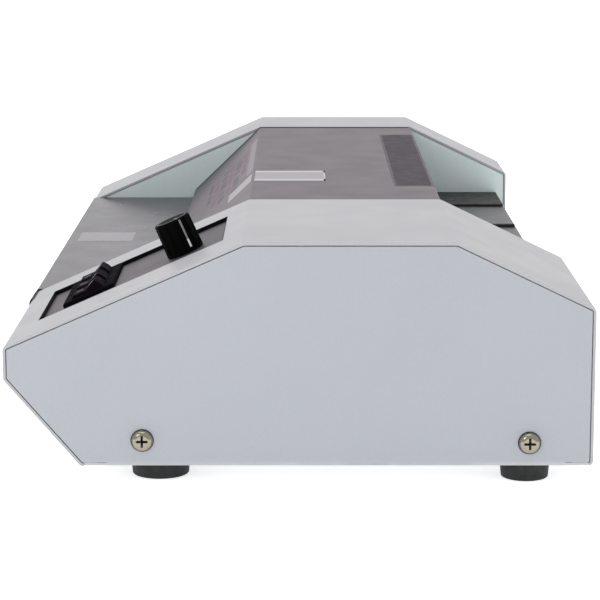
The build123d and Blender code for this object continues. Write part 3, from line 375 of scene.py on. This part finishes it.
WHITE_INK = printed("white_ink", srgb(232, 232, 234))
# Dull print ink, also used as painted highlight for the ring on the knob's top.
DULL_INK_AND_RIM_HIGHLIGHT = printed("dull_ink_and_rim_highlight", srgb(128, 127, 130))
TABLE_MARK_GREY = printed("table_mark_grey", srgb(88, 78, 92), roughness=0.22)
PANEL_INK = printed("panel_ink", srgb(96, 93, 97))
DARK_INK = printed("dark_ink", srgb(76, 62, 82), gloss=0.4)
MAUVE_INK = printed("mauve_ink", srgb(104, 66, 88), gloss=0.4)
PINK_INK = printed("pink_ink", srgb(112, 98, 107), roughness=0.42)
LABEL = printed("label_film", srgb(130, 122, 131), roughness=0.32)
LABEL_EDGE = printed("label_edge", srgb(172, 165, 172), roughness=0.32)
# Near-black painted shade, for the control recess walls and for the screw recesses and seats.
PAINTED_SHADE_BLACK = printed("recess_painted_shade", srgb(6, 5, 7), roughness=0.7, gloss=0.1)
# Dark grey-green painted shade, for the gaps at the cover's ends.
GAP_SHADE = printed("cover_gap_painted_shade", srgb(62, 68, 66), roughness=0.6)

for node, part in nodes.items():
    for place in part.material_slots:
        place.material = SLOT_MATERIALS[slot_of[node]]


# ================================ new pieces ================================

def new_piece(name, bm, material, body):
    """Turn a bmesh into a piece that rides on a CAD body."""
    mesh = bpy.data.meshes.new(name)
    bmesh.ops.recalc_face_normals(bm, faces=bm.faces)
    bm.to_mesh(mesh)
    bm.free()
    piece = bpy.data.objects.new(name, mesh)
    bpy.context.collection.objects.link(piece)
    mesh.materials.append(material)
    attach(piece, body)
    return piece


def add_plate(bm, centre, right, up, width, height, skin):
    """A thin plate standing a skin proud of centre, with its edges along right and up."""
    out = right.cross(up).normalized()
    corners = []
    for level in (-skin * 0.5, skin):
        for x, y in ((-1, -1), (1, -1), (1, 1), (-1, 1)):
            corner = centre + right * (x * width / 2) + up * (y * height / 2) + out * level
            corners.append(bm.verts.new(corner))
    low, high = corners[:4], corners[4:]
    bm.faces.new(low[::-1])
    bm.faces.new(high)
    for i in range(4):
        j = (i + 1) % 4
        bm.faces.new((low[i], low[j], high[j], high[i]))


def add_ring(bm, centre, right, up, outer, inner, skin, steps=40):
    """A thin flat ring standing a skin proud of centre, in the plane of right and up."""
    out = right.cross(up).normalized()
    loops = []
    for radius, level in ((inner, -skin), (outer, -skin), (outer, skin), (inner, skin)):
        loop = []
        for step in range(steps):
            angle = 2 * math.pi * step / steps
            spoke = right * math.cos(angle) + up * math.sin(angle)
            loop.append(bm.verts.new(centre + spoke * radius + out * level))
        loops.append(loop)
    for k in range(4):
        here, there = loops[k], loops[(k + 1) % 4]
        for i in range(steps):
            j = (i + 1) % steps
            bm.faces.new((here[i], here[j], there[j], there[i]))


def add_slope_print(bm, x0, x1, down0, down1, skin=PRINT_SKIN):
    """A printed rectangle on the cover's front slope, down0 to down1 from its fold."""
    centre = COVER_FOLD + COVER_DOWN * ((down0 + down1) / 2) + ACROSS * ((x0 + x1) / 2)
    add_plate(bm, centre, ACROSS, -COVER_DOWN, x1 - x0, down1 - down0, skin)


def add_top_print(bm, x0, x1, y0, y1, z, skin=PRINT_SKIN):
    """A printed rectangle on a level face at height z."""
    add_plate(bm, Vector(((x0 + x1) / 2, (y0 + y1) / 2, z)), ACROSS, BACK, x1 - x0, y1 - y0, skin)


def on_slope(x, along, height):
    """A point on the control slope: x across, along up the slope from the knob, height out of it."""
    return Vector((x, KNOB_FOOT.y, KNOB_FOOT.z)) + SLOPE_UP * along + SLOPE_OUT * height


def slope_spoke(angle):
    """A direction in the control slope, at an angle from across."""
    return ACROSS * math.cos(angle) + SLOPE_UP * math.sin(angle)


def knob_radius(height):
    """The knob's radius at a height out of the control slope."""
    return KNOB_BASE_RADIUS - (height + PANEL_DEPTH) * math.tan(KNOB_TAPER)


def recess_span():
    """The control recess as (low x, high x, low along, high along), from the panel under it."""
    low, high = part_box("control_panel")
    back_face = PANEL_DEPTH + PANEL_THICKNESS
    start = (low.y + SHEET * SLOPE_OUT.y - KNOB_FOOT.y) / SLOPE_UP.y + PANEL_MARGIN
    end = (high.y + back_face * SLOPE_OUT.y - KNOB_FOOT.y) / SLOPE_UP.y - PANEL_MARGIN
    return low.x + PANEL_MARGIN, high.x - PANEL_MARGIN, start, end


def make_recess_painted_shade():
    """Black sheets on the four walls of the control recess: painted shade for the shadowed walls and gap."""
    x0, x1, start, end = recess_span()
    depth = PANEL_DEPTH - RECESS_SHADE_CLEARANCE
    half_way = -PANEL_DEPTH / 2
    bm = bmesh.new()
    for x, inward in ((x0, 1), (x1, -1)):
        centre = on_slope(x, (start + end) / 2, half_way)
        add_plate(bm, centre, SLOPE_UP, SLOPE_OUT * inward, end - start, depth, RECESS_SHADE_SKIN)
    for along, inward in ((start, -1), (end, 1)):
        centre = on_slope((x0 + x1) / 2, along, half_way)
        add_plate(bm, centre, ACROSS, SLOPE_OUT * inward, x1 - x0, depth, RECESS_SHADE_SKIN)
    new_piece("recess_painted_shade", bm, PAINTED_SHADE_BLACK, "chassis")


def make_screw_details():
    """Dark crosses on the recess floors and a dark ring at the seat of the four side screws: painted shade in the
    recesses and under the heads.
    """
    low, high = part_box("side_panel_screws")
    head = SCREW_HEAD_RADIUS
    recess_shades = bmesh.new()
    seat_shades = bmesh.new()
    for x, outward in ((low.x, -1), (high.x, 1)):
        for y, z in ((low.y + head, high.z - head), (high.y - head, low.z + head)):
            right = BACK * outward
            floor = Vector((x - outward * SCREW_RECESS, y, z))
            add_plate(recess_shades, floor, right, UP, CROSS_LENGTH, CROSS_WIDTH, CROSS_LEVEL_SKIN)
            add_plate(recess_shades, floor, right, UP, CROSS_WIDTH, CROSS_LENGTH, CROSS_UPRIGHT_SKIN)
            seat = Vector((x - outward * SCREW_HEAD_HEIGHT, y, z))
            add_ring(seat_shades, seat, right, UP, head + SEAT_RING_OUTER, head + SEAT_RING_INNER, SEAT_RING_SKIN)
    new_piece("screw_recess_painted_shade", recess_shades, PAINTED_SHADE_BLACK, "chassis")
    new_piece("screw_seat_painted_shade", seat_shades, PAINTED_SHADE_BLACK, "chassis")


def add_pointer(bm, start, end):
    """A stretch of the pointer line on the knob's side, between two heights."""
    spoke = slope_spoke(POINTER_ANGLE)
    lean = (SLOPE_OUT - spoke * math.tan(KNOB_TAPER)).normalized()
    middle = (start + end) / 2
    centre = KNOB_FOOT + spoke * knob_radius(middle) + SLOPE_OUT * middle
    add_plate(bm, centre, SLOPE_OUT.cross(spoke), lean, POINTER_WIDTH, end - start, POINTER_SKIN)


def make_knob_pointer():
    """Pale line up the knob's side, brightest near its foot, with a short mark on top, and a pale ring just inside
    the top's rim that is a painted highlight.
    """
    bm = bmesh.new()
    add_pointer(bm, POINTER_FOOT, POINTER_BREAK)
    new_piece("knob_pointer", bm, WHITE_INK, "knob")
    spoke = slope_spoke(POINTER_ANGLE)
    mark = KNOB_FOOT + spoke * TOP_MARK_REACH + SLOPE_OUT * KNOB_TOP
    bm = bmesh.new()
    add_pointer(bm, POINTER_BREAK, POINTER_END)
    add_plate(bm, mark, spoke, SLOPE_OUT.cross(spoke), TOP_MARK_LENGTH, POINTER_WIDTH, TOP_MARK_SKIN)
    new_piece("knob_pointer_tail", bm, DULL_INK_AND_RIM_HIGHLIGHT, "knob")
    # A pale ring inside the knob's top edge: painted highlight of the rim catching light.
    rim = knob_radius(KNOB_TOP) - RIM_INSET
    bm = bmesh.new()
    add_ring(bm, KNOB_FOOT + SLOPE_OUT * KNOB_TOP, ACROSS, SLOPE_UP,
             rim - RIM_HIGHLIGHT_OUTER, rim - RIM_HIGHLIGHT_INNER, RIM_HIGHLIGHT_SKIN)
    new_piece("knob_rim_painted_highlight", bm, DULL_INK_AND_RIM_HIGHLIGHT, "knob")


def make_dial_ticks():
    """Short printed ticks round the knob, over its three quarters of a turn."""
    low, high = (math.radians(value) for value in joints["temperature_turn"]["range_deg"])
    bm = bmesh.new()
    for step in range(TICK_STEPS + 1):
        spoke = slope_spoke(POINTER_ANGLE + low + (high - low) * step / TICK_STEPS)
        length = LONG_TICK if step % LONG_TICK_EVERY == 0 else SHORT_TICK
        centre = KNOB_FOOT + spoke * (TICK_CIRCLE + length / 2) - SLOPE_OUT * PANEL_DEPTH
        add_plate(bm, centre, spoke, SLOPE_OUT.cross(spoke), length, TICK_WIDTH, TICK_SKIN)
    new_piece("dial_ticks", bm, PANEL_INK, "chassis")


def make_rocker_marks(name):
    """A bar on the low half and a ring on the raised half of one rocker."""
    pivot = Vector(joints[f"{name}_rock"]["pos_m"])
    along = SLOPE_UP * math.cos(ROCKER_TILT) + SLOPE_OUT * math.sin(ROCKER_TILT)
    out = ACROSS.cross(along)
    reach = ROCKER_RADIUS * math.cos(ROCKER_PEAK)
    rise = ROCKER_RADIUS * math.sin(ROCKER_PEAK)
    crown = rise - reach * math.tan(ROCKER_TILT)
    middle = out * (crown + rise) / 2
    low_face = (along * reach + out * (crown - rise)).normalized()
    high_face = (along * reach + out * (rise - crown)).normalized()
    bar_place = pivot - along * reach * 0.5 + middle
    ring_place = pivot + along * reach * 0.5 + middle
    bm = bmesh.new()
    add_plate(bm, bar_place, ACROSS, low_face, ROCKER_BAR_WIDTH, ROCKER_BAR_LENGTH, ROCKER_MARK_SKIN)
    add_ring(bm, ring_place, ACROSS, high_face, ROCKER_RING_OUTER, ROCKER_RING_INNER, ROCKER_MARK_SKIN)
    new_piece(f"{name}_rocker_marks", bm, DULL_INK_AND_RIM_HIGHLIGHT, f"{name}_rocker")


def make_cover_label():
    """Pale film label on the cover's top, folded a little way down the slope, with a lighter border."""
    x0, x1 = (FIELD_MIDDLE_X + x for x in LABEL_X)
    y0, y1 = (COVER_FOLD_Y + y for y in LABEL_Y)
    top = COVER_HIGH.z
    bm = bmesh.new()
    add_top_print(bm, x0, x1, y0, y1, top)
    new_piece("cover_label", bm, LABEL, "chassis")
    bm = bmesh.new()
    for low_x, high_x in ((x0, x0 + LABEL_BORDER), (x1 - LABEL_BORDER, x1)):
        add_top_print(bm, low_x, high_x, y0, y1, top, LABEL_BORDER_SKIN)
    add_top_print(bm, x0, x1, y1 - LABEL_BACK_BORDER, y1, top, LABEL_BORDER_SKIN)
    new_piece("cover_label_border", bm, LABEL_EDGE, "chassis")
    left_inset, right_inset = LABEL_TAIL_INSETS
    bm = bmesh.new()
    add_slope_print(bm, x0 + left_inset, x1 - right_inset, *LABEL_TAIL_DOWN)
    new_piece("cover_label_tail", bm, LABEL, "chassis")


def make_cover_prints():
    """Rows of plain printed bars on the cover's slope, under one long bar, where a guide table would be."""
    rows = ((7.5, 3.4, 96, MAUVE_INK), (12.4, 4.4, 132, DARK_INK), (18.2, 3.8, 110, MAUVE_INK),
            (23.2, 4.8, 124, DARK_INK), (29.4, 4.0, 104, MAUVE_INK), (35.0, 3.4, 84, DARK_INK))
    for row, (down, depth, length, ink) in enumerate(rows):
        pitch = length * MM / PRINT_CELLS
        shift = ROW_SHIFT * math.sin(ROW_SHIFT_PHASE * row)
        bm = bmesh.new()
        for cell in range(PRINT_CELLS):
            x = PRINT_START_X + (cell + shift) * pitch
            fill = CELL_FILL + CELL_FILL_SWING * math.sin(CELL_FILL_PHASE * cell + ROW_FILL_PHASE * row)
            add_slope_print(bm, x, x + pitch * fill, down * MM, (down + depth) * MM)
        new_piece(f"cover_print_{row + 1}", bm, ink, "chassis")
    x0, x1 = (PRINT_START_X + x for x in PRINT_FRAME_X)
    bm = bmesh.new()
    add_slope_print(bm, x0, x1, *PRINT_FRAME_DOWN)
    new_piece("cover_print_frame", bm, PINK_INK, "chassis")


def make_table_mark():
    """Pale rectangle at the table's front edge."""
    low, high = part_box("feed_table")
    x0, x1 = (FIELD_MIDDLE_X + x for x in TABLE_MARK_X)
    y0, y1 = (low.y + y for y in TABLE_MARK_Y)
    bm = bmesh.new()
    add_top_print(bm, x0, x1, y0, y1, high.z, TABLE_MARK_SKIN)
    new_piece("table_mark", bm, TABLE_MARK_GREY, "chassis")


def make_cover_gap_shade():
    """Thin dark strips along the cover's two ends, beside the gap to the cheeks: painted shade for the shadowed
    gap.
    """
    half = GAP_SHADE_WIDTH / 2
    slope_end = (COVER_FOOT - COVER_FOLD).length - GAP_SHADE_FOOT_GAP
    top_end = COVER_HIGH.y - GAP_SHADE_BACK_GAP
    for name, x in (("left", COVER_LOW.x + half), ("right", COVER_HIGH.x - half)):
        bm = bmesh.new()
        add_slope_print(bm, x - half, x + half, 0, slope_end, GAP_SHADE_SKIN)
        add_top_print(bm, x - half, x + half, COVER_FOLD_Y, top_end, COVER_HIGH.z, GAP_SHADE_SKIN)
        new_piece(f"cover_end_gap_shade_{name}", bm, GAP_SHADE, "chassis")


make_recess_painted_shade()
make_screw_details()
make_knob_pointer()
make_dial_ticks()
for switch in ("power", "heat", "reverse"):
    make_rocker_marks(switch)
make_cover_label()
make_cover_prints()
make_table_mark()
make_cover_gap_shade()


# ================================ camera, light, floor ================================

CAMERA_PLACE = Vector((1.2184, 0.0004, 0.2654))
CAMERA_DIP = math.radians(10.717)
CAMERA_LENS = 137.7
CAMERA_SENSOR = 36.0
CAMERA_NEAR = 0.05
CAMERA_FAR = 50
FLOOR_SIZE = 60
FLOOR_DROP = 0.0001
FLOOR_GLOW = 0.66
SKY_BEHIND_OBJECT = 1.06
SKY_BEHIND_CAMERA = 0.78
SKY_FADE_START = -0.5
SKY_FADE_END = 0.6
WHITE = (1.0, 1.0, 1.0, 1.0)


def make_camera():
    """The camera stands off the right-hand side, looking along -X and a little down."""
    data = bpy.data.cameras.new("camera")
    data.lens = CAMERA_LENS
    data.sensor_width = CAMERA_SENSOR
    data.clip_start = CAMERA_NEAR
    data.clip_end = CAMERA_FAR
    camera = bpy.data.objects.new("camera", data)
    bpy.context.collection.objects.link(camera)
    camera.location = CAMERA_PLACE
    look = Vector((-math.cos(CAMERA_DIP), 0, -math.sin(CAMERA_DIP)))
    camera.rotation_euler = look.to_track_quat("-Z", "Y").to_euler()
    bpy.context.scene.camera = camera


def make_floor():
    """A plain pale floor under the feet."""
    bpy.ops.mesh.primitive_plane_add(size=FLOOR_SIZE, location=(0, 0, cad_bounds[0].z - FLOOR_DROP))
    floor = bpy.context.object
    floor.name = "floor"
    shader = Shader("floor", srgb(246, 246, 246), 0.95, Specular_IOR_Level=0.0)
    shader.principled.inputs["Emission Color"].default_value = WHITE
    shader.principled.inputs["Emission Strength"].default_value = FLOOR_GLOW
    floor.data.materials.append(shader.material)


def soft_light(name, place, target, size, power):
    """A square area light that looks at a point."""
    data = bpy.data.lights.new(name, "AREA")
    data.shape = "SQUARE"
    data.size = size
    data.energy = power
    light = bpy.data.objects.new(name, data)
    bpy.context.collection.objects.link(light)
    light.location = place
    light.rotation_euler = (Vector(target) - Vector(place)).to_track_quat("-Z", "Y").to_euler()


def make_sky():
    """White surroundings, dimmer behind the camera."""
    world = bpy.data.worlds.new("studio")
    bpy.context.scene.world = world
    world.use_nodes = True
    tree = world.node_tree
    place = tree.nodes.new("ShaderNodeTexCoord")
    split = tree.nodes.new("ShaderNodeSeparateXYZ")
    fade = tree.nodes.new("ShaderNodeMapRange")
    fade.interpolation_type = "SMOOTHSTEP"
    for name, number in (("From Min", SKY_FADE_START), ("From Max", SKY_FADE_END),
                         ("To Min", SKY_BEHIND_OBJECT), ("To Max", SKY_BEHIND_CAMERA)):
        fade.inputs[name].default_value = number
    tree.links.new(place.outputs["Generated"], split.inputs["Vector"])
    tree.links.new(split.outputs["X"], fade.inputs["Value"])
    background = tree.nodes["Background"]
    background.inputs["Color"].default_value = WHITE
    tree.links.new(fade.outputs["Result"], background.inputs["Strength"])


make_camera()
make_floor()
make_sky()
soft_light("overhead", place=(0.2, -0.1, 1.6), target=(0, 0, 0), size=1.2, power=5)
soft_light("camera_side", place=(1.3, -0.9, 0.9), target=(0.2, 0, 0.05), size=0.5, power=3)
bpy.context.scene.view_settings.view_transform = "Standard"
